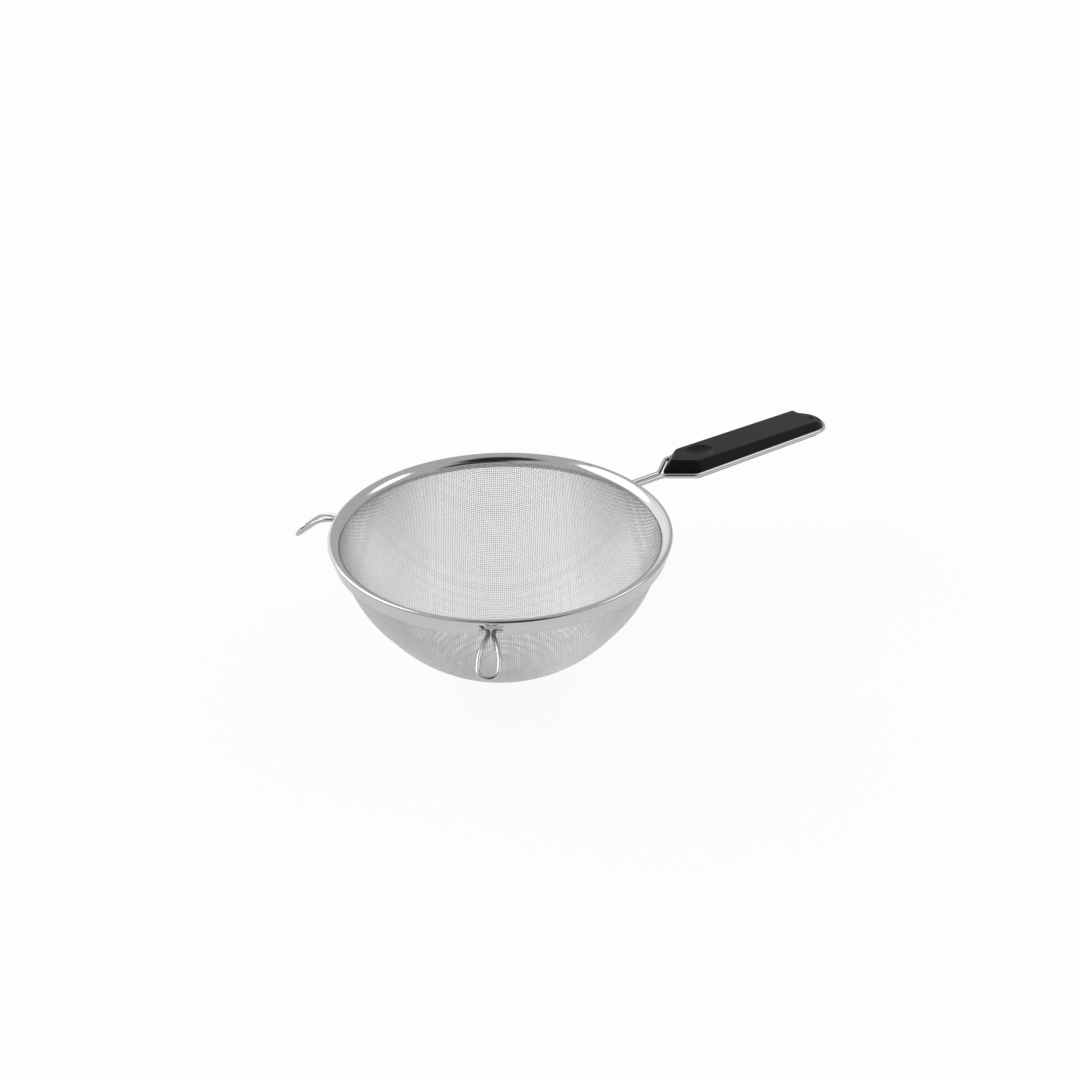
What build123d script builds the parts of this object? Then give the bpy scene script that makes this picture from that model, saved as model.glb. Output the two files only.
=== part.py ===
from build123d import *
import os
from math import asin, cos, radians, sin, sqrt, tan

# Bowl sieve. Millimetres, +Z up, handle along +X, origin at the middle of the foot that it rests on.
# Angles are in degrees.

# Woven bowl
bowl_mouth_drop = 6.5
bowl_lean = 5.0
shoulder_share = 0.779
flank_angle = 36.5
flank_length_share = 0.102
foot_radius = 12.0
mesh_wire = 0.38
mesh_tuck_drop = 2.75
weave_angle = -35.0
grid_openings_across = 8
grid_bar_share = 0.3
cloth_edge_band = 6.0

# Rolled rim strip
rim_radius = 100.0
roll_radius = 1.5
strip_thickness = 0.4
skirt_setback = 2.2
skirt_drop = 8.2
crease_radius = 0.45
lip_mesh_clearance = 0.12
lip_top_slope = 34.0
lip_drop = 2.35
lip_edge_height = 0.75
seam_angle = 18.5
seam_gap = 0.25

# Wires
handle_wire = 3.0
lug_wire = 2.5
wire_channel_clearance = 0.1

# Handle loop
handle_droop = 1.0
handle_under_roll = 0.45
neck_half_spacing = 2.3
neck_length = 28.2
splay_angle = 36.2
loop_half_width = 15.0
loop_length = 132.5
split_bend = 6.0
shoulder_bend = 8.0
handle_foot_bend = 2.6
handle_foot_angle = 6.5
handle_slot_side = 0.7
handle_slot_under = 0.25

# Rest lugs
lug_angle = 128.7
lug_foot_angle = 7.0
lug_rise_from_skirt = 0.75
lug_neck_reach = 3.1
lug_neck_half = 1.4
lug_knee_reach = 15.2
lug_knee_half = 4.3
lug_half_width = 5.3
lug_shoulder_run = 6.0
lug_exit_bend = 2.2
lug_neck_bend = 3.0
lug_knee_bend = 16.0
lug_shoulder_bend = 6.0
lug_left_dip_angle = 38.0
lug_left_run = 21.0
lug_right_dip_angle = 22.0
lug_right_run = 17.3

# Pressed pocket in the skirt over each lug, and the slot that the lug comes out of
pocket_half_width = 7.3
pocket_top_drop = 2.0
pocket_throat_half = 4.3
pocket_depth = 1.5
pocket_side_slope = 40.0
slot_under_pocket = 0.35
slot_half_width = 6.3
slot_over_wire = 0.3

# Grip
grip_foot_inset = 0.8
grip_web_half = 2.0
grip_bevel_angle = 30.0
grip_top_front = 7.9
grip_top_slope = 0.8
grip_top_start = 24.0
grip_loft_excess = 1.1
grip_under_depth = 2.0
grip_under_inset = 1.6
nose_gap = 1.8
nose_tip_radius = 1.2
nose_tip_radius_top = 0.7
grip_corner_radius = 9.0
grip_corner_radius_top = 6.0
wire_groove_clearance = 0.1
dish_centre = 33.0
dish_length = 23.0
dish_width = 16.0
dish_depth = 1.9
dish_cap_rise = 4.0
scoop_radius = 12.0
scoop_centre = 10.5
pad_height = 3.0
hang_hole_radius = 3.75
hang_hole_place = 6.1
grip_edge_fillet = 0.8

cut_overrun = 5.0

# Places that follow from the sizes above
skirt_radius = rim_radius - skirt_setback
bowl_edge_radius = skirt_radius - strip_thickness - handle_wire - 2 * wire_channel_clearance
bowl_mouth_radius = bowl_edge_radius - (bowl_mouth_drop - mesh_tuck_drop) * tan(radians(bowl_lean))
channel_radius = (bowl_edge_radius + skirt_radius - strip_thickness) / 2
roll_ring_radius = rim_radius - roll_radius
mesh_thickness = 2 * mesh_wire
shoulder_radius = shoulder_share * bowl_mouth_radius
flank_length = flank_length_share * bowl_mouth_radius
neck_end = skirt_radius + neck_length
loop_centre = neck_end + loop_length
lug_neck_radius = skirt_radius + lug_neck_reach
lug_knee_radius = skirt_radius + lug_knee_reach
lug_drop = skirt_drop - lug_wire / 2 - lug_rise_from_skirt
grip_loft_height = grip_top_front + grip_loft_excess


def bowl_stations(inset):
    """Points of the bowl's profile, a distance inset inside its outer face, from mouth to axis."""
    lean = radians(bowl_lean)
    flank = radians(flank_angle)
    shoulder_x = bowl_mouth_radius - shoulder_radius * cos(lean)
    shoulder_z = -bowl_mouth_drop + shoulder_radius * sin(lean)
    flank_x = shoulder_x + shoulder_radius * cos(flank)
    flank_z = shoulder_z - shoulder_radius * sin(flank)
    crown_radius = (flank_x - flank_length * sin(flank)) / cos(flank)
    crown_z = flank_z - flank_length * cos(flank) + crown_radius * sin(flank)
    foot_z = crown_z - sqrt(crown_radius**2 - foot_radius**2)
    edge_rise = bowl_mouth_drop - mesh_tuck_drop

    def on_arc(centre_x, centre_z, radius, angle):
        return (centre_x + (radius - inset) * cos(angle), centre_z - (radius - inset) * sin(angle))

    mouth = on_arc(shoulder_x, shoulder_z, shoulder_radius, lean)
    edge = (mouth[0] + edge_rise * tan(lean), mouth[1] + edge_rise)
    crown_end = asin((crown_z - foot_z - inset) / (crown_radius - inset))
    middle = (flank + crown_end) / 2
    return {
        "edge": edge,
        "mouth": mouth,
        "shoulder": on_arc(shoulder_x, shoulder_z, shoulder_radius, (lean + flank) / 2),
        "flank": on_arc(shoulder_x, shoulder_z, shoulder_radius, flank),
        "crown": on_arc(0, crown_z, crown_radius, flank),
        "crown_middle": on_arc(0, crown_z, crown_radius, middle),
        "foot": on_arc(0, crown_z, crown_radius, crown_end),
        "axis": (0, foot_z + inset),
    }


# The roll's centre is this far above the foot, so that the rim sits on the bowl as fitted
rim_height = -bowl_stations(0)["axis"][1]
lip_inner_radius = bowl_stations(mesh_thickness)["edge"][0] - strip_thickness - lip_mesh_clearance
handle_drop = roll_radius + handle_wire / 2 + handle_under_roll
handle_origin_height = rim_height - handle_drop + skirt_radius * tan(radians(handle_droop))
droop = radians(handle_droop)
handle_plane = Plane(
    origin=(0, 0, handle_origin_height),
    x_dir=(cos(droop), 0, -sin(droop)),
    z_dir=(sin(droop), 0, cos(droop)),
)
neck_corner = neck_end + (loop_half_width - neck_half_spacing) / tan(radians(splay_angle))


def bowl_curve(inset):
    p = bowl_stations(inset)
    return (
        Line(p["edge"], p["mouth"])
        + ThreePointArc(p["mouth"], p["shoulder"], p["flank"])
        + Line(p["flank"], p["crown"])
        + ThreePointArc(p["crown"], p["crown_middle"], p["foot"])
        + Line(p["foot"], p["axis"])
    )


def bowl_shell():
    outside = bowl_stations(0)
    inside = bowl_stations(mesh_thickness)
    outline = (
        bowl_curve(0)
        + bowl_curve(mesh_thickness)
        + Line(outside["edge"], inside["edge"])
        + Line(outside["axis"], inside["axis"])
    )
    return Pos(0, 0, rim_height) * revolve(Plane.XZ * make_face(outline), Axis.Z)


def grid_bars():
    """Upright slabs, evenly spaced along the bowl's surface, that leave a bar of cloth where they cross it."""
    profile = Wire(bowl_curve(0).edges())
    length = profile.length
    pitch = 2 * length / grid_openings_across
    half_bar = grid_bar_share * pitch / 2

    def radius_at(run):
        return (profile @ (1 - run / length)).X

    bars = Box(2 * radius_at(half_bar), 2 * rim_radius, 2 * rim_height)
    for count in range(1, grid_openings_across // 2):
        near = radius_at(count * pitch - half_bar)
        far = radius_at(count * pitch + half_bar)
        bar = Box(far - near, 2 * rim_radius, 2 * rim_height)
        for side in (-1, 1):
            bars += Pos(side * (near + far) / 2, 0, 0) * bar
    return bars


def make_mesh_bowl():
    """The woven cloth, two wires thick, opened by a plain grid. Its edge band and pressed foot are whole."""
    bars = grid_bars()
    edge_height = rim_height - mesh_tuck_drop - cloth_edge_band
    band = Pos(0, 0, edge_height) * Cylinder(
        rim_radius, 2 * cloth_edge_band, align=(Align.CENTER, Align.CENTER, Align.MIN)
    )
    foot = Cylinder(foot_radius, 2 * foot_radius)
    kept = Rot(0, 0, weave_angle) * (bars + Rot(0, 0, 90) * bars) + band + foot
    return bowl_shell() & kept


def strip_section():
    """Section of the rolled strip: lip, roll and skirt, traced along its middle line."""
    middle = roll_radius - strip_thickness / 2
    lip_x = lip_inner_radius + strip_thickness / 2
    skirt_x = skirt_radius - strip_thickness / 2
    slope = radians(lip_top_slope)
    tangent = (roll_ring_radius - middle * sin(slope), middle * cos(slope))
    top = (roll_ring_radius + middle * sin(slope), middle * cos(slope))
    lip_face = TangentArc(tangent, (lip_x, -lip_drop), tangent=(-cos(slope), -sin(slope)))
    lip = lip_face + Line((lip_x, -lip_drop), (lip_x, -lip_drop - lip_edge_height))
    roll_over = ThreePointArc(tangent, (roll_ring_radius, middle), top)
    roll_under = ThreePointArc(top, (roll_ring_radius + middle, 0), (roll_ring_radius, -middle))
    skirt = FilletPolyline(
        (roll_ring_radius, -middle),
        (skirt_x, -middle),
        (skirt_x, -skirt_drop),
        radius=crease_radius,
    )
    return trace(lip + roll_over + roll_under + skirt, strip_thickness)


def skirt_cutter(points):
    """A prism along +X through the skirt alone, from points of half width and drop below the roll."""
    right = [(width, -drop) for width, drop in points]
    left = [(-width, -drop) for width, drop in reversed(points)]
    face = make_face(Polyline(right + left, close=True))
    start = channel_radius + strip_thickness
    reach = rim_radius - start
    return extrude(Plane(origin=(start, 0, 0), x_dir=(0, 1, 0), z_dir=(1, 0, 0)) * face, reach)


def lug_slot():
    top = lug_drop - lug_wire / 2 - slot_over_wire
    return skirt_cutter([(slot_half_width, top), (slot_half_width, skirt_drop + cut_overrun)])


def pocket_hollow(wall):
    """The hollow of a lug's pocket on +X, or with a wall the outside of the pressed sheet round it."""
    bottom = lug_drop - lug_wire / 2 - slot_over_wire - slot_under_pocket - strip_thickness
    draw = (pocket_depth + wall) * tan(radians(pocket_side_slope))
    grow = wall / cos(radians(pocket_side_slope))

    def outline(distance, shrink):
        corners = [
            (-pocket_half_width - grow + shrink, -pocket_top_drop + grow - shrink / 2),
            (pocket_half_width + grow - shrink, -pocket_top_drop + grow - shrink / 2),
            (pocket_throat_half + grow - shrink, -bottom - grow + shrink / 2),
            (-pocket_throat_half - grow + shrink, -bottom - grow + shrink / 2),
        ]
        face = make_face(Polyline(corners, close=True))
        return Plane(origin=(distance, 0, 0), x_dir=(0, 1, 0), z_dir=(1, 0, 0)) * face

    mouth = skirt_radius + strip_thickness
    floor = skirt_radius - strip_thickness - pocket_depth - wall
    return loft([outline(floor, draw), outline(mouth, 0)], ruled=True)


def handle_opening():
    half = neck_half_spacing + handle_wire / 2 + handle_slot_side
    top = handle_drop - handle_wire / 2 - handle_slot_under
    bottom = handle_drop + handle_wire / 2 + handle_slot_under
    return skirt_cutter([(half, top), (half, bottom)])


def make_rim_band():
    ring = revolve(Plane.XZ * strip_section(), Axis.Z)
    inside_skirt = Cylinder(skirt_radius - strip_thickness / 2, 2 * skirt_drop)
    pocket = (pocket_hollow(strip_thickness) & inside_skirt) - pocket_hollow(0)
    for angle in (-lug_angle, lug_angle):
        ring -= Rot(0, 0, angle) * pocket_hollow(0)
        ring += Rot(0, 0, angle) * pocket
        ring -= Rot(0, 0, angle) * lug_slot()
    ring -= handle_opening()
    seam = Box(rim_radius, seam_gap, 2 * (skirt_drop + cut_overrun))
    ring -= Rot(0, 0, seam_angle) * Pos(rim_radius, 0, 0) * seam
    return Pos(0, 0, rim_height) * ring


def wire_along(path, diameter):
    start = Plane(origin=path @ 0, z_dir=path % 0)
    return sweep(start * Circle(diameter / 2), path=path)


def channel_foot(half_spacing, bend, foot_angle):
    """A wire's foot along the rim's channel, from its end to where it has turned outward, along +X."""
    offset = half_spacing + bend
    turn = asin(offset / (channel_radius + bend))
    centre_x = (channel_radius + bend) * cos(turn)
    start_angle = radians(foot_angle)
    half_way = (radians(90) + turn) / 2

    def ring_point(angle):
        return (channel_radius * cos(angle), channel_radius * sin(angle))

    foot = ThreePointArc(ring_point(start_angle), ring_point((start_angle + turn) / 2), ring_point(turn))
    exit_bend = ThreePointArc(
        ring_point(turn),
        (centre_x - bend * cos(half_way), offset - bend * sin(half_way)),
        (centre_x, half_spacing),
    )
    return foot + exit_bend, centre_x


def handle_path():
    """Middle line of the handle wire: two feet along the rim, neck, splay and loop."""
    foot, centre_x = channel_foot(neck_half_spacing, handle_foot_bend, handle_foot_angle)
    side = FilletPolyline(
        (centre_x, neck_half_spacing),
        (neck_end, neck_half_spacing),
        (neck_corner, loop_half_width),
        (loop_centre, loop_half_width),
        radius=[split_bend, shoulder_bend],
    )
    half = foot + side
    end = ThreePointArc(
        (loop_centre, loop_half_width),
        (loop_centre + loop_half_width, 0),
        (loop_centre, -loop_half_width),
    )
    return Wire((half + end + mirror(half, Plane.XZ)).edges())


def make_handle_wire():
    return handle_plane.location * wire_along(handle_path(), handle_wire)


def lug_path(dip_angle, run):
    """Middle line of a rest lug, on +X with its feet in the rim, level with the roll's centre."""
    dip = radians(dip_angle)
    foot, centre_x = channel_foot(lug_neck_half, lug_exit_bend, lug_foot_angle)

    def beyond_knee(distance, half_width):
        x = lug_knee_radius + distance * cos(dip)
        return (x, half_width, -lug_drop - distance * sin(dip))

    side = [
        (centre_x, lug_neck_half, -lug_drop),
        (lug_neck_radius, lug_neck_half, -lug_drop),
        (lug_knee_radius, lug_knee_half, -lug_drop),
        beyond_knee(lug_shoulder_run, lug_half_width),
        beyond_knee(run - lug_half_width, lug_half_width),
    ]
    radii = [lug_neck_bend, lug_knee_bend, lug_shoulder_bend]
    leg = Pos(0, 0, -lug_drop) * foot + FilletPolyline(side, radius=radii)
    tip = beyond_knee(run, 0)
    last = side[-1]
    end = ThreePointArc(last, tip, (last[0], -last[1], last[2]))
    return Wire((leg + end + mirror(leg, Plane.XZ)).edges())


def make_rest_lug(angle, dip_angle, run):
    lug = wire_along(lug_path(dip_angle, run), lug_wire)
    return Pos(0, 0, rim_height) * Rot(0, 0, angle) * lug


def grip_outline(inset, corner, tip):
    """Outline of the grip in the wire's plane, drawn in by inset from its foot."""
    half = loop_half_width - grip_foot_inset - inset
    splay = radians(splay_angle)
    nose = neck_end + nose_gap + inset / sin(splay)
    corner_x = nose + half / tan(splay)
    front = FilletPolyline(
        (loop_centre, half),
        (corner_x, half),
        (nose, 0),
        (corner_x, -half),
        (loop_centre, -half),
        radius=[corner, tip, corner],
    )
    rear = ThreePointArc((loop_centre, -half), (loop_centre + half, 0), (loop_centre, half))
    return make_face(front + rear)


def grip_body():
    foot = grip_outline(0, grip_corner_radius, nose_tip_radius)
    web = extrude(Pos(0, 0, -grip_web_half) * foot, 2 * grip_web_half)
    rise = grip_loft_height - grip_web_half
    top_inset = rise * tan(radians(grip_bevel_angle))
    top = grip_outline(top_inset, grip_corner_radius_top, nose_tip_radius_top)
    upper = loft([Pos(0, 0, grip_web_half) * foot, Pos(0, 0, grip_loft_height) * top], ruled=True)
    under = grip_outline(grip_under_inset, grip_corner_radius_top, nose_tip_radius_top)
    under_height = grip_web_half + grip_under_depth
    lower = loft([Pos(0, 0, -under_height) * under, Pos(0, 0, -grip_web_half) * foot], ruled=True)
    return web + upper + lower


def top_cutter():
    """Everything above the plateau, which falls gently towards the hanging end."""
    length = 2 * loop_centre
    block = Box(length, 2 * loop_half_width, length, align=(Align.CENTER, Align.CENTER, Align.MIN))
    return Pos(neck_end + grip_top_start, 0, grip_top_front) * Rot(0, grip_top_slope, 0) * block


def dish_cutter():
    """Shallow oval dish for the thumb, cut by a flattened ball."""
    depth = dish_cap_rise + dish_depth
    reach_share = sqrt(1 - (dish_cap_rise / depth) ** 2)
    half_length = dish_length / 2 / reach_share
    half_width = dish_width / 2 / reach_share
    ball = scale(Sphere(1), by=(half_length, half_width, depth))
    top = grip_top_front - (dish_centre - grip_top_start) * tan(radians(grip_top_slope))
    return Pos(neck_end + dish_centre, 0, top + dish_cap_rise) * ball


def scoop_cutter():
    """Concave step down from the plateau to the hanging pad, and the space over the pad."""
    across = 2 * loop_half_width
    middle = loop_centre + scoop_centre
    barrel = Pos(middle, 0, pad_height + scoop_radius) * Rot(90, 0, 0) * Cylinder(scoop_radius, across)
    behind = Box(across, across, across, align=(Align.MIN, Align.CENTER, Align.MIN))
    return barrel + Pos(middle, 0, pad_height) * behind


def make_grip():
    body = grip_body() - top_cutter()
    plateau = body.faces().sort_by(Axis.Z)[-1]
    body = fillet(plateau.edges(), grip_edge_fillet)
    body -= dish_cutter()
    body -= scoop_cutter()
    body -= Pos(loop_centre + hang_hole_place, 0, 0) * Cylinder(hang_hole_radius, 2 * grip_loft_height)
    body -= wire_along(handle_path(), handle_wire + 2 * wire_groove_clearance)
    return handle_plane.location * body


nodes = {
    "mesh_bowl": make_mesh_bowl(),
    "rim_band": make_rim_band(),
    "handle_wire": make_handle_wire(),
    "rest_lug_left": make_rest_lug(lug_angle, lug_left_dip_angle, lug_left_run),
    "rest_lug_right": make_rest_lug(-lug_angle, lug_right_dip_angle, lug_right_run),
    "grip": make_grip(),
}

os.makedirs("parts", exist_ok=True)
for name, shape in nodes.items():
    export_step(shape, f"parts/{name}.step")

print("roll centre above foot", round(rim_height, 3))
print("channel radius", round(channel_radius, 3))
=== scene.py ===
# %% [markdown]
# # A round kitchen sieve in woven wire
#
# The real object is a bowl of woven steel wire held in a rolled steel rim. One bent wire makes the
# neck and the loop of the handle, with a moulded black grip inside the loop, and two small bent
# loops on the far side hook over a pot. This lesson loads the CAD model as a fixed frame and gives
# each of its parts a finish. It also weaves the bowl wire by wire and rolls the rim as one smooth
# sheet, because the CAD model holds both in a plainer form.

import math

import bmesh
import bpy
import numpy as np
from mathutils import Matrix, Vector


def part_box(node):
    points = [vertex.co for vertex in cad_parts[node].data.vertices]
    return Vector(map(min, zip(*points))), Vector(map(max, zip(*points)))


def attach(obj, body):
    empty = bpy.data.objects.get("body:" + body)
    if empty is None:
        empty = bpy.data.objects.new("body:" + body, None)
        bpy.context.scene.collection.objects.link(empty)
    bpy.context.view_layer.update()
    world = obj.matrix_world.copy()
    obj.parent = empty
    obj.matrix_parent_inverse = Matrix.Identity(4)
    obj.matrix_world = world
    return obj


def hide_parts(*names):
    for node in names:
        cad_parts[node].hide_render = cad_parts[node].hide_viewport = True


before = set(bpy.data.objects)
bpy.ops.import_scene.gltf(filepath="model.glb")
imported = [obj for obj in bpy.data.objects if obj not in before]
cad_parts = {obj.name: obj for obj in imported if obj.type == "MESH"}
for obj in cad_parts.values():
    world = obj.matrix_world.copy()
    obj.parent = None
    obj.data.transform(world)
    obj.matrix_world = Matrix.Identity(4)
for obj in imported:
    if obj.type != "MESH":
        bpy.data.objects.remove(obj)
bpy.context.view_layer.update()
MM = 0.001
print("CAD nodes:", ", ".join(sorted(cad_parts)))

# %% [markdown]
# ## Camera
#
# A picture taken from about 30 degrees above shows the inside of the bowl and the length of the
# handle together. The place and the turn of the camera are written as plain numbers, because they
# were measured once, and a small roll is kept, because a camera is never quite level.

# %% Place the camera
CAMERA_PLACE = Vector((-349.8, -500.7, 431.0)) * MM
CAMERA_HEADING = math.radians(52.92)
CAMERA_DIP = math.radians(29.894)
CAMERA_ROLL = math.radians(-0.481)


def direction(heading, height):
    """Unit vector at a heading in the XY plane and a height above it, both in radians."""
    return Vector((
        math.cos(heading) * math.cos(height),
        math.sin(heading) * math.cos(height),
        math.sin(height),
    ))


def camera_turn(heading, dip, roll):
    """Turn of a camera that looks along heading in the XY plane and dips below the horizon."""
    ahead = direction(heading, -dip)
    level_right = Vector((math.sin(heading), -math.cos(heading), 0.0))
    level_up = level_right.cross(ahead)
    right = math.cos(roll) * level_right + math.sin(roll) * level_up
    up = math.cos(roll) * level_up - math.sin(roll) * level_right
    return Matrix((right, up, -ahead)).transposed()


camera_data = bpy.data.cameras.new("Camera")
camera_data.sensor_width = 36.0
camera_data.lens = 40.0
camera = bpy.data.objects.new("Camera", camera_data)
camera.matrix_world = (
    Matrix.Translation(CAMERA_PLACE) @ camera_turn(CAMERA_HEADING, CAMERA_DIP, CAMERA_ROLL).to_4x4()
)
bpy.context.scene.collection.objects.link(camera)
bpy.context.scene.camera = camera
bpy.context.scene.view_settings.view_transform = "Standard"
print("camera is", round(CAMERA_PLACE.length, 3), "m from the bowl's foot")

# %% [markdown]
# ## Floor, world and lamps
#
# Polished steel shows its surroundings more than its own colour, so the surroundings are part of
# the finish. The studio has one even tone, a wide white wall at the left and behind, a dark panel
# over the camera, which is the black band that the far side of the rim mirrors, and a dark screen
# low at the right of the camera, which draws the black line along the near side. A large lamp at
# the left and a smaller one at the right draw the rim's two long highlights.

# %% Build the floor and the light


def new_material(name):
    """An empty node material, with its tree and its output node."""
    material = bpy.data.materials.new(name)
    material.use_nodes = True
    tree = material.node_tree
    tree.nodes.clear()
    output = tree.nodes.new("ShaderNodeOutputMaterial")
    return material, tree, output


def combine(tree, operation, first, second):
    """Output of a math node that combines two values; the second may be a plain number."""
    node = tree.nodes.new("ShaderNodeMath")
    node.operation = operation
    tree.links.new(first, node.inputs[0])
    if isinstance(second, float):
        node.inputs[1].default_value = second
    else:
        tree.links.new(second, node.inputs[1])
    return node.outputs[0]


def map_range(tree, value, start, end, at_start, at_end, kind="LINEAR"):
    """A value carried from one range to another."""
    node = tree.nodes.new("ShaderNodeMapRange")
    node.interpolation_type = kind
    node.inputs["From Min"].default_value = start
    node.inputs["From Max"].default_value = end
    node.inputs["To Min"].default_value = at_start
    node.inputs["To Max"].default_value = at_end
    tree.links.new(value, node.inputs["Value"])
    return node.outputs["Result"]


def add_soft_sun(name, heading, height, width, strength):
    """Even light from one direction, as from a large far softbox; the angles are in degrees."""
    data = bpy.data.lights.new(name, "SUN")
    data.angle = math.radians(width)
    data.energy = strength
    lamp = bpy.data.objects.new(name, data)
    lamp.location = direction(math.radians(heading), math.radians(height))
    lamp.rotation_euler = (-lamp.location).to_track_quat("-Z", "Y").to_euler()
    bpy.context.scene.collection.objects.link(lamp)


FLOOR_HALF = 6.0
FLOOR_WHITE_SHARE = 0.9
floor_mesh = bpy.data.meshes.new("Floor")
corners = [(x * FLOOR_HALF, y * FLOOR_HALF, 0) for x, y in ((-1, -1), (1, -1), (1, 1), (-1, 1))]
floor_mesh.from_pydata(corners, [], [(0, 1, 2, 3)])
floor = bpy.data.objects.new("Floor", floor_mesh)
bpy.context.scene.collection.objects.link(floor)
material, tree, output = new_material("Floor paper")
paper = tree.nodes.new("ShaderNodeBsdfPrincipled")
paper.inputs["Base Color"].default_value = (0.96, 0.96, 0.96, 1.0)
paper.inputs["Roughness"].default_value = 1.0
paper.inputs["Specular IOR Level"].default_value = 0.0
white = tree.nodes.new("ShaderNodeEmission")
white.inputs["Color"].default_value = (1.0, 1.0, 1.0, 1.0)
white.inputs["Strength"].default_value = 1.0
light_path = tree.nodes.new("ShaderNodeLightPath")
seen = light_path.outputs["Is Camera Ray"]
for ray in ("Is Glossy Ray", "Is Transmission Ray"):
    seen = combine(tree, "MAXIMUM", seen, light_path.outputs[ray])
white_share = combine(tree, "MULTIPLY", seen, FLOOR_WHITE_SHARE)
blend = tree.nodes.new("ShaderNodeMixShader")
tree.links.new(white_share, blend.inputs[0])
tree.links.new(paper.outputs[0], blend.inputs[1])
tree.links.new(white.outputs[0], blend.inputs[2])
tree.links.new(blend.outputs[0], output.inputs["Surface"])
floor.data.materials.append(material)

# The glow of the room and of its three round patches. A patch is given by the heading and the
# height of its middle, its half width and the width of its soft edge, all in degrees.
ROOM_GLOW = 0.68
WALL, WALL_GLOW = (92.0, 12.0, 12.0, 28.0), 0.70
PANEL, PANEL_GLOW = (235.0, 66.0, 15.0, 9.0), 0.05
SCREEN, SCREEN_GLOW = (252.0, 30.0, 18.0, 12.0), 0.12


def patch(tree, place, outside, inside):
    """A value that changes smoothly from outside to inside a round patch of the world."""
    heading, height, half_width, soft_edge = (math.radians(angle) for angle in place)
    ray = tree.nodes.new("ShaderNodeTexCoord")
    nearness = tree.nodes.new("ShaderNodeVectorMath")
    nearness.operation = "DOT_PRODUCT"
    nearness.inputs[1].default_value = direction(heading, height)
    tree.links.new(ray.outputs["Generated"], nearness.inputs[0])
    start, end = math.cos(half_width + soft_edge), math.cos(half_width)
    return map_range(tree, nearness.outputs["Value"], start, end, outside, inside, "SMOOTHSTEP")


world = bpy.data.worlds.new("Studio")
bpy.context.scene.world = world
world.use_nodes = True
tree = world.node_tree
tree.nodes.clear()
output = tree.nodes.new("ShaderNodeOutputWorld")
studio = tree.nodes.new("ShaderNodeBackground")
studio.inputs["Color"].default_value = (1.0, 1.0, 1.0, 1.0)
glow = patch(tree, WALL, ROOM_GLOW, ROOM_GLOW + WALL_GLOW)
glow = combine(tree, "MULTIPLY", glow, patch(tree, PANEL, 1.0, PANEL_GLOW))
glow = combine(tree, "MULTIPLY", glow, patch(tree, SCREEN, 1.0, SCREEN_GLOW))
tree.links.new(glow, studio.inputs["Strength"])
tree.links.new(studio.outputs[0], output.inputs["Surface"])

add_soft_sun("Key lamp", heading=121.0, height=42.0, width=44.0, strength=0.90)
add_soft_sun("Right lamp", heading=-22.0, height=44.0, width=26.0, strength=0.25)
print("floor, world and 2 lamps made")

# %% [markdown]
# ## Weave the bowl
#
# The bowl is plain woven cloth, pressed over a round former. Its wires can't stretch, so the
# little squares of the flat cloth turn into diamonds where the cloth wraps in two directions at
# once. A picture of a weave would slide about on such a form, so every wire is made. The crossings
# are found one after another, each at one pitch from its two neighbours on the bowl's surface, the
# way a fishnet hangs on a ball.

# %% Describe the bowl's profile
_, bowl_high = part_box("mesh_bowl")
CLOTH_WIRE = 0.38 * MM
CLOTH_PITCH = 1.27 * MM
BOWL_EDGE_RADIUS = bowl_high.x
MOUTH_DROP = 6.5 * MM
TUCK_DROP = 2.75 * MM
BOWL_LEAN = math.radians(5.0)
FLANK_ANGLE = math.radians(36.5)
SHOULDER_SHARE = 0.779
FLANK_SHARE = 0.102
FOOT_RADIUS = 12.0 * MM
ROLL_HEIGHT = bowl_high.z + TUCK_DROP


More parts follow.
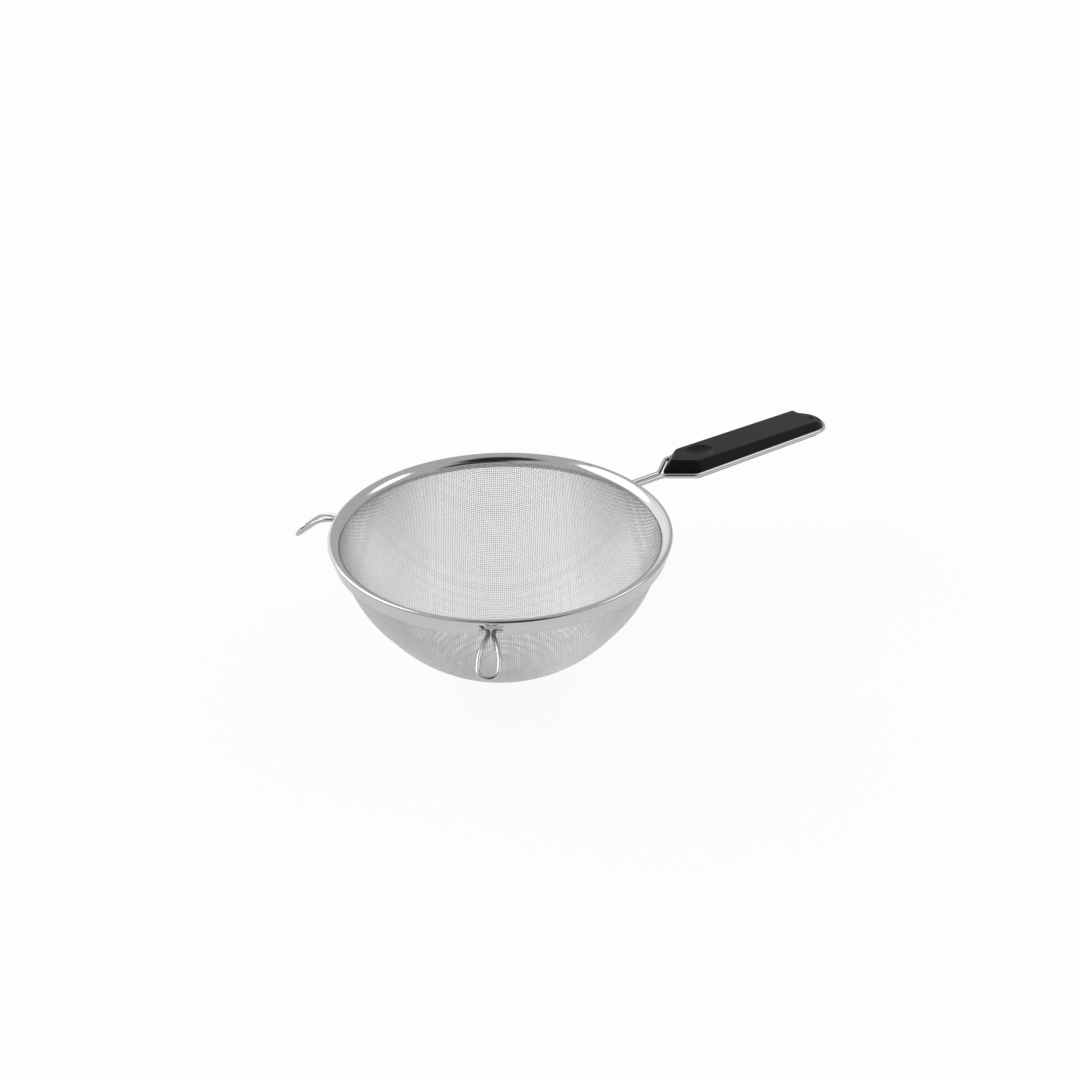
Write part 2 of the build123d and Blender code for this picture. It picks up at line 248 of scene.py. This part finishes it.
class BowlProfile:
    """Radius and height along the middle of the cloth, measured from the axis up to its edge."""

    def __init__(self, inset):
        mouth = BOWL_EDGE_RADIUS - (MOUTH_DROP - TUCK_DROP) * math.tan(BOWL_LEAN)
        shoulder = SHOULDER_SHARE * mouth
        flank = FLANK_SHARE * mouth
        self.shoulder_x = mouth - shoulder * math.cos(BOWL_LEAN)
        self.shoulder_z = -MOUTH_DROP + shoulder * math.sin(BOWL_LEAN)
        flank_x = self.shoulder_x + shoulder * math.cos(FLANK_ANGLE)
        flank_z = self.shoulder_z - shoulder * math.sin(FLANK_ANGLE)
        crown = (flank_x - flank * math.sin(FLANK_ANGLE)) / math.cos(FLANK_ANGLE)
        self.crown_z = flank_z - flank * math.cos(FLANK_ANGLE) + crown * math.sin(FLANK_ANGLE)
        foot_z = self.crown_z - math.sqrt(crown**2 - FOOT_RADIUS**2)
        self.floor_z = foot_z + inset
        self.crown = crown - inset
        self.shoulder = shoulder - inset
        self.crown_start = math.asin((self.crown_z - self.floor_z) / self.crown)
        foot_run = self.crown * math.cos(self.crown_start)
        crown_run = self.crown * (self.crown_start - FLANK_ANGLE)
        shoulder_run = self.shoulder * (FLANK_ANGLE - BOWL_LEAN)
        edge_run = (MOUTH_DROP - TUCK_DROP) / math.cos(BOWL_LEAN)
        self.joins = np.cumsum([0.0, foot_run, crown_run, flank, shoulder_run, edge_run])
        self.length = self.joins[-1]

    def at(self, run):
        """Radius, height and their slopes at a run along the profile, for an array of runs."""
        run = np.asarray(run, float)
        part = np.searchsorted(self.joins, run, side="right") - 1
        part = np.clip(part, 0, len(self.joins) - 2)
        ahead = run - self.joins[part]
        crown_turn = self.crown_start - ahead / self.crown
        shoulder_turn = FLANK_ANGLE - ahead / self.shoulder
        flank_x = self.crown * math.cos(FLANK_ANGLE)
        flank_z = self.crown_z - self.crown * math.sin(FLANK_ANGLE)
        edge_x = self.shoulder_x + self.shoulder * math.cos(BOWL_LEAN)
        edge_z = self.shoulder_z - self.shoulder * math.sin(BOWL_LEAN)
        flank_slope = (math.sin(FLANK_ANGLE), math.cos(FLANK_ANGLE))
        edge_slope = (math.sin(BOWL_LEAN), math.cos(BOWL_LEAN))
        level = np.zeros_like(run)
        radius = np.choose(part, [
            ahead,
            self.crown * np.cos(crown_turn),
            flank_x + ahead * flank_slope[0],
            self.shoulder_x + self.shoulder * np.cos(shoulder_turn),
            edge_x + ahead * edge_slope[0],
        ])
        height = np.choose(part, [
            level + self.floor_z,
            self.crown_z - self.crown * np.sin(crown_turn),
            flank_z + ahead * flank_slope[1],
            self.shoulder_z - self.shoulder * np.sin(shoulder_turn),
            edge_z + ahead * edge_slope[1],
        ])
        slope_out = np.choose(part, [
            level + 1.0,
            np.sin(crown_turn),
            level + flank_slope[0],
            np.sin(shoulder_turn),
            level + edge_slope[0],
        ])
        slope_up = np.choose(part, [
            level,
            np.cos(crown_turn),
            level + flank_slope[1],
            np.cos(shoulder_turn),
            level + edge_slope[1],
        ])
        return radius, height + ROLL_HEIGHT, slope_out, slope_up


cloth = BowlProfile(CLOTH_WIRE)
print("the cloth measures", round(2 * cloth.length / MM), "mm over the bowl, edge to edge")

# %% Find the crossings of one quarter of the cloth
# The first diagonals lie on the flat foot. Each crossing is then solved in rounds, by steps of no
# more than a share of the pitch, and is kept when it misses by less than a small share of it.
FLAT_DIAGONALS = 8
SOLVER_ROUNDS = 12
SOLVER_STEP = 0.6
SOLVER_MISS = 1e-4
SMALLEST = 1e-15


def on_bowl(run, turn):
    """Points on the cloth and how they move with the run and with the turn about the axis."""
    radius, height, slope_out, slope_up = cloth.at(run)
    point = np.stack([radius * np.cos(turn), radius * np.sin(turn), height], -1)
    by_run = np.stack([slope_out * np.cos(turn), slope_out * np.sin(turn), slope_up], -1)
    by_turn = np.stack([-radius * np.sin(turn), radius * np.cos(turn), 0 * radius], -1)
    return point, by_run, by_turn


def weave_quarter(pitch):
    """Run and turn of each crossing (i, j) of a quarter of the cloth, diagonal by diagonal."""
    count = int(cloth.length / pitch) + 3
    limit = SOLVER_STEP * pitch
    run = np.full((count + 1, count + 1), np.nan)
    turn = np.full((count + 1, count + 1), np.nan)
    steps = np.arange(count + 1) * pitch
    run[0, :], turn[0, :] = steps, math.pi / 2
    run[:, 0], turn[:, 0] = steps, 0.0
    place = np.full((count + 1, count + 1, 3), np.nan)
    place[0], place[:, 0] = on_bowl(run[0], turn[0])[0], on_bowl(run[:, 0], turn[:, 0])[0]
    for diagonal in range(2, 2 * count + 1):
        i = np.arange(max(1, diagonal - count), min(count, diagonal - 1) + 1)
        j = diagonal - i
        known = np.isfinite(place[i - 1, j, 0]) & np.isfinite(place[i, j - 1, 0])
        i, j = i[known], j[known]
        if not len(i):
            continue
        back, left, below = place[i - 1, j - 1], place[i - 1, j], place[i, j - 1]
        guess = left + below - back
        new_turn = np.arctan2(guess[:, 1], guess[:, 0])
        if diagonal < FLAT_DIAGONALS:
            new_run = np.hypot(guess[:, 0], guess[:, 1])
        else:
            new_run = run[i - 1, j] + run[i, j - 1] - run[i - 1, j - 1]
        for _ in range(SOLVER_ROUNDS):
            point, by_run, by_turn = on_bowl(new_run, new_turn)
            to_left, to_below = point - left, point - below
            miss_left = (to_left**2).sum(1) - pitch**2
            miss_below = (to_below**2).sum(1) - pitch**2
            a, b = 2 * (to_left * by_run).sum(1), 2 * (to_left * by_turn).sum(1)
            c, d = 2 * (to_below * by_run).sum(1), 2 * (to_below * by_turn).sum(1)
            det = a * d - b * c
            det = np.where(abs(det) < SMALLEST, SMALLEST, det)
            run_step = (miss_left * d - miss_below * b) / det
            turn_step = (a * miss_below - c * miss_left) / det
            turn_limit = limit / np.maximum(np.hypot(point[:, 0], point[:, 1]), pitch / 2)
            new_run = new_run - np.clip(run_step, -limit, limit)
            new_turn = new_turn - np.clip(turn_step, -turn_limit, turn_limit)
        point = on_bowl(new_run, new_turn)[0]
        miss = sum(abs(np.linalg.norm(point - side, axis=1) - pitch) for side in (left, below))
        keep = (miss < SOLVER_MISS * pitch) & (new_run < cloth.length + 2 * pitch)
        run[i[keep], j[keep]], turn[i[keep], j[keep]] = new_run[keep], new_turn[keep]
        place[i[keep], j[keep]] = point[keep]
    return run, turn


quarter_run, quarter_turn = weave_quarter(CLOTH_PITCH)
print("crossings in a quarter:", int((quarter_run[1:, 1:] <= cloth.length).sum()))

# %% [markdown]
# The quarter is turned three times to fill the bowl. Each wire is then a row of crossings that
# passes over one neighbour and under the next, so every point is lifted off the middle of the
# cloth by half a wire, one way and then the other. The last point of a wire is moved along it to
# the edge of the cloth, which the rim hides.

# %% Lay out the wires as lines of points
WEAVE_TURN = math.radians(-34.94)
FULL_TURN = 2 * math.pi


def wrapped(angle):
    """The same angle, between minus half a turn and half a turn."""
    return (angle + math.pi) % FULL_TURN - math.pi


def crossing(i, j):
    """Run and turn of any crossing of the whole cloth, from the quarter."""
    if j >= 0 and i > 0:
        return quarter_run[i, j], quarter_turn[i, j]
    if i <= 0 and j > 0:
        return quarter_run[j, -i], quarter_turn[j, -i] + math.pi / 2
    if i < 0 and j <= 0:
        return quarter_run[-i, -j], quarter_turn[-i, -j] + math.pi
    if i >= 0 and j < 0:
        return quarter_run[-j, i], quarter_turn[-j, i] - math.pi / 2
    return 0.0, 0.0


def wire_rows(along_x):
    """For each wire one way: the runs, turns and over-or-under sign of its points."""
    size = quarter_run.shape[0] - 1
    rows = []
    for fixed in range(-size, size + 1):
        line = []
        for moving in range(-size, size + 1):
            i, j = (moving, fixed) if along_x else (fixed, moving)
            run, turn = crossing(i, j)
            if not math.isfinite(run):
                continue
            side = 1.0 if (i + j) % 2 == 0 else -1.0
            line.append((moving, run, turn, side if along_x else -side))
        inside = [k for k, (_, run, _, _) in enumerate(line) if run <= cloth.length]
        if len(inside) < 3:
            continue
        first, last = inside[0], inside[-1]
        ends = []
        for inner, outer in ((first, first - 1), (last, last + 1)):
            if outer < 0 or outer >= len(line) or abs(line[outer][0] - line[inner][0]) != 1:
                ends.append([])
                continue
            _, run_in, turn_in, side_in = line[inner]
            _, run_out, turn_out, side_out = line[outer]
            share = (cloth.length - run_in) / (run_out - run_in)
            turn_end = turn_in + share * wrapped(turn_out - turn_in)
            side_end = side_in + share * (side_out - side_in)
            ends.append([(None, cloth.length, turn_end, side_end)])
        row = ends[0] + line[first : last + 1] + ends[1]
        rows.append(np.array([item[1:] for item in row]))
    return rows


warp_rows = wire_rows(True)
weft_rows = wire_rows(False)
print("wires:", len(warp_rows), "one way and", len(weft_rows), "the other")

# %% [markdown]
# The lines become wires with Geometry Nodes: a profile circle follows each line. The wire's
# diameter, the number of its sides and the material are the group's named inputs, and the lift of
# each point is an attribute that the group reads.

# %% Build the wire-drawing node group


def wire_group(name):
    """A node group that lifts the points of lines and draws a round wire along each line."""
    group = bpy.data.node_groups.new(name, "GeometryNodeTree")
    face = group.interface
    face.new_socket("Geometry", in_out="INPUT", socket_type="NodeSocketGeometry")
    face.new_socket("Wire diameter", in_out="INPUT", socket_type="NodeSocketFloat")
    face.new_socket("Sides", in_out="INPUT", socket_type="NodeSocketInt")
    face.new_socket("Material", in_out="INPUT", socket_type="NodeSocketMaterial")
    face.new_socket("Geometry", in_out="OUTPUT", socket_type="NodeSocketGeometry")
    nodes, links = group.nodes, group.links
    given, made = nodes.new("NodeGroupInput"), nodes.new("NodeGroupOutput")
    half = nodes.new("ShaderNodeMath")
    half.operation = "MULTIPLY"
    half.inputs[1].default_value = 0.5
    links.new(given.outputs["Wire diameter"], half.inputs[0])
    lift = nodes.new("GeometryNodeInputNamedAttribute")
    lift.data_type = "FLOAT_VECTOR"
    lift.inputs["Name"].default_value = "lift"
    scaled = nodes.new("ShaderNodeVectorMath")
    scaled.operation = "SCALE"
    links.new(lift.outputs["Attribute"], scaled.inputs[0])
    links.new(half.outputs[0], scaled.inputs["Scale"])
    moved = nodes.new("GeometryNodeSetPosition")
    links.new(given.outputs["Geometry"], moved.inputs["Geometry"])
    links.new(scaled.outputs[0], moved.inputs["Offset"])
    lines = nodes.new("GeometryNodeMeshToCurve")
    links.new(moved.outputs["Geometry"], lines.inputs["Mesh"])
    circle = nodes.new("GeometryNodeCurvePrimitiveCircle")
    links.new(half.outputs[0], circle.inputs["Radius"])
    links.new(given.outputs["Sides"], circle.inputs["Resolution"])
    tube = nodes.new("GeometryNodeCurveToMesh")
    links.new(lines.outputs[0], tube.inputs["Curve"])
    links.new(circle.outputs["Curve"], tube.inputs["Profile Curve"])
    tube.inputs["Fill Caps"].default_value = True
    smooth = nodes.new("GeometryNodeSetShadeSmooth")
    links.new(tube.outputs["Mesh"], smooth.inputs["Geometry"])
    realised = nodes.new("GeometryNodeRealizeInstances")
    links.new(smooth.outputs["Geometry"], realised.inputs["Geometry"])
    coated = nodes.new("GeometryNodeSetMaterial")
    links.new(realised.outputs["Geometry"], coated.inputs["Geometry"])
    links.new(given.outputs["Material"], coated.inputs["Material"])
    links.new(coated.outputs["Geometry"], made.inputs["Geometry"])
    return group


def set_input(modifier, label, value):
    """Sets a node group's input by its identifier, found from its name."""
    sockets = modifier.node_group.interface.items_tree
    found = [s for s in sockets if s.in_out == "INPUT" and s.name == label]
    modifier[found[0].identifier] = value


def make_plain(obj, name):
    """The evaluated object as a plain mesh in a new object, with the old one removed."""
    depsgraph = bpy.context.evaluated_depsgraph_get()
    mesh = bpy.data.meshes.new_from_object(obj.evaluated_get(depsgraph))
    mesh.name = name
    plain = bpy.data.objects.new(name, mesh)
    bpy.context.scene.collection.objects.link(plain)
    bpy.data.objects.remove(obj)
    return plain


def triangles(obj):
    """How many triangles an object's faces make."""
    return sum(len(face.vertices) - 2 for face in obj.data.polygons)


draw_wires = wire_group("Draw wires along lines")
inputs = [s.name for s in draw_wires.interface.items_tree if s.in_out == "INPUT"]
print("node group inputs:", inputs)

# %% [markdown]
# ## Steel finishes
#
# Drawn stainless wire is bright, with a slight haze from handling. One helper makes every surface
# here: its roughness and its tone vary a little in patches, and a fine grain can dent it. The
# steels differ only in roughness, haze and brightness, so that the pieces belong together.

# %% Make the steel materials
# Patches and grain are each the scale and the detail of a noise. The spread is the part of the
# patches' noise that carries the roughness through its haze, and the tones darken and brighten.
DENT_DEPTH = 0.05 * MM
STEEL_PATCHES, STEEL_GRAIN = (180.0, 4.0), (2160.0, 2.0)
STEEL_SPREAD, STEEL_TONES = (0.3, 0.7), (0.93, 1.04)


def noise(tree, place, scale, detail):
    """A noise of a given scale and detail over the object."""
    node = tree.nodes.new("ShaderNodeTexNoise")
    node.inputs["Scale"].default_value = scale
    node.inputs["Detail"].default_value = detail
    tree.links.new(place.outputs["Object"], node.inputs["Vector"])
    return node.outputs["Fac"]


def patchy(name, colour, roughness, haze, patches, spread, tones, grain, bump):
    """A material whose roughness and tone vary in patches, with its shader node."""
    material, tree, output = new_material(name)
    shader = tree.nodes.new("ShaderNodeBsdfPrincipled")
    place = tree.nodes.new("ShaderNodeTexCoord")
    patch_noise = noise(tree, place, *patches)
    rough = map_range(tree, patch_noise, *spread, roughness - haze / 2, roughness + haze / 2)
    tree.links.new(rough, shader.inputs["Roughness"])
    tone = tree.nodes.new("ShaderNodeMix")
    tone.data_type = "RGBA"
    for label, factor in zip("AB", tones):
        tone.inputs[label].default_value = (*(min(1.0, c * factor) for c in colour), 1.0)
    tree.links.new(patch_noise, tone.inputs["Factor"])
    tree.links.new(tone.outputs["Result"], shader.inputs["Base Color"])
    if bump:
        dents = tree.nodes.new("ShaderNodeBump")
        dents.inputs["Strength"].default_value = bump
        dents.inputs["Distance"].default_value = DENT_DEPTH
        tree.links.new(noise(tree, place, *grain), dents.inputs["Height"])
        tree.links.new(dents.outputs["Normal"], shader.inputs["Normal"])
    tree.links.new(shader.outputs[0], output.inputs["Surface"])
    return material, shader


def steel(name, colour, roughness, haze=0.08, bump=0.0):
    """A bright drawn steel."""
    look = (STEEL_PATCHES, STEEL_SPREAD, STEEL_TONES, STEEL_GRAIN)
    material, shader = patchy(name, colour, roughness, haze, *look, bump)
    shader.inputs["Metallic"].default_value = 1.0
    return material


cloth_steel = steel("Woven steel wire", (0.74, 0.74, 0.75), 0.45)
rim_steel = steel("Polished steel strip", (0.54, 0.54, 0.55), 0.13, haze=0.05, bump=0.02)
wire_steel = steel("Polished steel wire", (0.50, 0.50, 0.51), 0.17, bump=0.02)
print("steels:", [m.name for m in (cloth_steel, rim_steel, wire_steel)])

# %% Draw the cloth's wires


def line_object(name, rows):
    """An object of bare edges through the points of the rows, with the lift of each point."""
    points, lifts, edges = [], [], []
    start = 0
    for row in rows:
        run, turn, side = row[:, 0], row[:, 1] + WEAVE_TURN, row[:, 2]
        radius, height, slope_out, slope_up = cloth.at(run)
        points.append(np.stack([radius * np.cos(turn), radius * np.sin(turn), height], -1))
        outward = np.stack([slope_up * np.cos(turn), slope_up * np.sin(turn), -slope_out], -1)
        lifts.append(outward * side[:, None])
        numbers = np.arange(start, start + len(row))
        edges.append(np.stack([numbers[:-1], numbers[1:]], -1))
        start += len(row)
    mesh = bpy.data.meshes.new(name)
    mesh.from_pydata(np.concatenate(points).tolist(), np.concatenate(edges).tolist(), [])
    attribute = mesh.attributes.new("lift", "FLOAT_VECTOR", "POINT")
    attribute.data.foreach_set("vector", np.concatenate(lifts).astype(np.float32).ravel())
    obj = bpy.data.objects.new(name, mesh)
    bpy.context.scene.collection.objects.link(obj)
    return obj


CLOTH_WIRE_SIDES = 4


def draw(name, rows):
    """One piece of the cloth, from its rows of points."""
    lines = line_object(name + "_lines", rows)
    modifier = lines.modifiers.new("Draw", "NODES")
    modifier.node_group = draw_wires
    set_input(modifier, "Wire diameter", CLOTH_WIRE)
    set_input(modifier, "Sides", CLOTH_WIRE_SIDES)
    set_input(modifier, "Material", cloth_steel)
    piece = make_plain(lines, name)
    print(name, "has", len(rows), "wires and", triangles(piece), "triangles")
    return piece


cloth_pieces = []
for way, rows in (("warp", warp_rows), ("weft", weft_rows)):
    middle = len(rows) // 2
    for part, some in (("a", rows[:middle]), ("b", rows[middle:])):
        cloth_pieces.append(draw(f"cloth_{way}_{part}", some))
for piece in cloth_pieces:
    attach(piece, "root")
    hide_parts("mesh_bowl")

# %% [markdown]
# ## Roll the rim
#
# The rim is one strip of sheet steel, and what catches the eye is how its light runs round a soft
# curve. The CAD strip is true in size but faceted, so it is rolled again here as one smooth sheet:
# its section is a line with a thickness, carried round the ring. The pressed pocket over each lug
# is part of the same sheet, pushed inward, and the slots are cells of the sheet left out.

# %% Draw the strip's section
STRIP = 0.4 * MM
LIP_RADIUS = 93.12 * MM
LIP_LOW, LIP_HIGH = -3.1 * MM, -2.75 * MM
LIP_STEEP, LIP_SHALLOW = math.radians(65.0), math.radians(22.0)
LIP_POINTS, ROLL_POINTS, CREASE_POINTS = 13, 20, 6
ROLL_RADIUS = 1.5 * MM - STRIP / 2
ROLL_RING = 98.5 * MM
SKIRT_RADIUS = 97.8 * MM - STRIP / 2
CREASE = 0.45 * MM
SLOT_TOP, OPENING_BOTTOM, SKIRT_LOW = -4.65 * MM, -5.2 * MM, -8.2 * MM
SKIRT_HEIGHTS = [height * MM for height in (-2.2, -2.7, -3.2, -3.7, -4.2)]
SKIRT_HEIGHTS += [SLOT_TOP, OPENING_BOTTOM, -6.0 * MM, -7.0 * MM, SKIRT_LOW]


def strip_section():
    """Middle line of the strip from lip to skirt, and the number of the skirt's first point."""
    low = np.array([LIP_RADIUS, LIP_HIGH])
    high = np.array([
        ROLL_RING - ROLL_RADIUS * math.sin(LIP_SHALLOW),
        ROLL_RADIUS * math.cos(LIP_SHALLOW),
    ])
    steep, shallow = math.tan(LIP_STEEP), math.tan(LIP_SHALLOW)
    meet_x = (high[1] - low[1] + steep * low[0] - shallow * high[0]) / (steep - shallow)
    meet = np.array([meet_x, low[1] + steep * (meet_x - low[0])])
    points = [(LIP_RADIUS, LIP_LOW)]
    for t in np.linspace(0, 1, LIP_POINTS):
        points.append(tuple((1 - t) ** 2 * low + 2 * t * (1 - t) * meet + t**2 * high))
    for turn in np.linspace(math.radians(90) + LIP_SHALLOW, math.radians(-90), ROLL_POINTS)[1:]:
        points.append((ROLL_RING + ROLL_RADIUS * math.cos(turn), ROLL_RADIUS * math.sin(turn)))
    corner = (SKIRT_RADIUS + CREASE, -ROLL_RADIUS - CREASE)
    for turn in np.linspace(math.radians(90), math.radians(180), CREASE_POINTS):
        points.append((corner[0] + CREASE * math.cos(turn), corner[1] + CREASE * math.sin(turn)))
    skirt_start = len(points) - 1
    points += [(SKIRT_RADIUS, height) for height in SKIRT_HEIGHTS]
    return np.array(points), skirt_start


section, skirt_start = strip_section()
print("the strip's section has", len(section), "points")

# %% Place the pockets and the cuts
# The section is copied evenly round the ring, and more closely over a reach of 1.3 half slots each
# side of a lug. A copy that is too near the edge of a cut is moved onto it.
RING_COPIES = 480
LUG_COPIES, LUG_REACH = 49, 1.3
TOO_NEAR = 0.001
LUG_ANGLES = (math.radians(128.7), math.radians(-128.7))
SLOT_HALF = 6.3 * MM / SKIRT_RADIUS
HANDLE_HALF = 4.5 * MM / SKIRT_RADIUS
SEAM_ANGLE = math.radians(18.5)
SEAM_HALF = 0.125 * MM / ROLL_RING
# A pocket narrows from its top down to its throat at the slot, and gets shallower by its rise.
# Only the sheet outside PUSHED_FROM moves, so the lip stays round.
POCKET_HALF, THROAT_HALF = 7.3 * MM, 4.3 * MM
POCKET_TOP, POCKET_DEPTH, POCKET_EDGE = -1.4 * MM, 1.5 * MM, 1.8 * MM
POCKET_STEP = 0.8 * MM
POCKET_RISE = 0.85
PUSHED_FROM = 97.0 * MM

# A cut has a middle angle, half an angle, and the first and last row of the section it opens.
slot_row, last_row = skirt_start + 1 + SKIRT_HEIGHTS.index(SLOT_TOP), len(section) - 1
cuts = [(lug % FULL_TURN, SLOT_HALF, slot_row, last_row) for lug in LUG_ANGLES]
cuts.append((0.0, HANDLE_HALF, skirt_start, slot_row + 1))
seam = (SEAM_ANGLE, SEAM_HALF)


def within(angle, middle, half):
    """Whether an angle is less than half to either side of a middle angle."""
    return abs(wrapped(angle - middle)) < half


def soft_step(value):
    """A step from 0 to 1 that starts and ends softly."""
    value = np.clip(value, 0.0, 1.0)
    return value * value * (3 - 2 * value)


def pocket_push(angle, height):
    """How far the pockets over the lugs push the sheet inward at an angle and at heights."""
    down = np.clip((POCKET_TOP - height) / (POCKET_TOP - SLOT_TOP), 0.0, 1.0)
    half = POCKET_HALF + (THROAT_HALF - POCKET_HALF) * down + POCKET_EDGE / 4
    depth = POCKET_DEPTH * soft_step((POCKET_TOP - height) / POCKET_STEP)
    depth = depth * (1 - POCKET_RISE * down) * (height >= SLOT_TOP - POCKET_STEP)
    push = np.zeros_like(height)
    for lug in LUG_ANGLES:
        across = abs(wrapped(angle - lug)) * SKIRT_RADIUS
        push += depth * soft_step((half - across) / POCKET_EDGE)
    return push


def ring_angles():
    """Angles of the section's copies: even, closer at the pockets, on the edges of the cuts."""
    angles = set(np.round(np.linspace(0, FULL_TURN, RING_COPIES + 1)[:-1], 7))
    for lug in LUG_ANGLES:
        near_lug = lug + np.linspace(-1, 1, LUG_COPIES) * LUG_REACH * SLOT_HALF
        angles |= set(np.round(near_lug % FULL_TURN, 7))
    for middle, half in [cut[:2] for cut in cuts] + [seam]:
        for edge in (middle - half, middle + half):
            angles -= {angle for angle in angles if within(angle, edge, TOO_NEAR)}
            angles.add(edge % FULL_TURN)
    return np.array(sorted(angles))


# %% Carry the section round the ring
SHARP_ANGLE = math.radians(40.0)


def roll_rim(name):
    """The rim as one closed sheet: a loop round the section at each angle, joined by faces."""
    along = np.gradient(section, axis=0)
    along /= np.linalg.norm(along, axis=1)[:, None]
    side = np.stack([-along[:, 1], along[:, 0]], -1) * STRIP / 2
    loop = np.concatenate([section + side, (section - side)[::-1]])
    pushed = loop[:, 0] > PUSHED_FROM
    angles = ring_angles()
    middles = angles + np.diff(angles, append=angles[0] + FULL_TURN) / 2
    columns, size = len(angles), len(loop)
    points, faces = [], []
    for angle in angles:
        radius = loop[:, 0] - pocket_push(angle, loop[:, 1]) * pushed
        height = loop[:, 1] + ROLL_HEIGHT
        points.append(np.stack([radius * math.cos(angle), radius * math.sin(angle), height], -1))

    def vertex(column, row):
        return (column % columns) * size + row

    def join(column, row, other_row):
        """Adds the face between a column and the next one, from one row to another."""
        corners = ((column, row), (column + 1, row), (column + 1, other_row), (column, other_row))
        faces.append([vertex(*corner) for corner in corners])

    for column, here in enumerate(middles):
        if within(here, *seam):
            faces.append([vertex(column, row) for row in range(size)])
            faces.append([vertex(column + 1, row) for row in reversed(range(size))])
            continue
        left_out = set()
        for middle, half, first, last in cuts:
            is_open = within(here, middle, half)
            if is_open:
                left_out |= set(range(first, last)) | {size - 2 - row for row in range(first, last)}
                join(column, first, size - 1 - first)
                if last == last_row:
                    left_out.add(last_row)
                else:
                    join(column, last, size - 1 - last)
            if is_open != within(middles[column - 1], middle, half):
                for row in range(first, last):
                    inner = size - 1 - row
                    faces.append([vertex(column, k) for k in (row, row + 1, inner - 1, inner)])
        for row in range(size):
            if row not in left_out:
                join(column, row, (row + 1) % size)
    mesh = bpy.data.meshes.new(name)
    mesh.from_pydata(np.concatenate(points).tolist(), [], faces)
    work = bmesh.new()
    work.from_mesh(mesh)
    bmesh.ops.delete(work, geom=[v for v in work.verts if not v.link_faces], context="VERTS")
    bmesh.ops.recalc_face_normals(work, faces=work.faces)
    print(name, "open edges:", sum(not edge.is_manifold for edge in work.edges))
    work.to_mesh(mesh)
    work.free()
    mesh.shade_smooth()
    mesh.set_sharp_from_angle(angle=SHARP_ANGLE)
    mesh.materials.append(rim_steel)
    rim = bpy.data.objects.new(name, mesh)
    bpy.context.scene.collection.objects.link(rim)
    return rim


rim = roll_rim("rolled_rim")
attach(rim, "root")
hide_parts("rim_band")
print("the rim has", triangles(rim), "triangles")

# %% [markdown]
# ## Wires and grip
#
# The CAD model holds the handle wire, the two lugs and the grip in their real shapes, so they stay
# and only get their finish.

# %% Finish the CAD parts
grip_plastic, plastic_shader = patchy(
    "Moulded black plastic",
    colour=(0.009, 0.009, 0.011),
    roughness=0.38,
    haze=0.10,
    patches=(45.0, 2.0),
    spread=(0.0, 1.0),
    tones=(0.8, 1.2),
    grain=(900.0, 3.0),
    bump=0.12,
)
plastic_shader.inputs["Specular IOR Level"].default_value = 0.12


def finish_node(node, material):
    """Gives a CAD node its material and its slot, and leaves its shape as it is."""
    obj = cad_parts[node]
    obj.data.materials.clear()
    obj.data.materials.append(material)


for node in ("handle_wire", "rest_lug_left", "rest_lug_right"):
    finish_node(node, wire_steel)
finish_node("grip", grip_plastic)
print("finished:", ", ".join(sorted(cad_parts)))
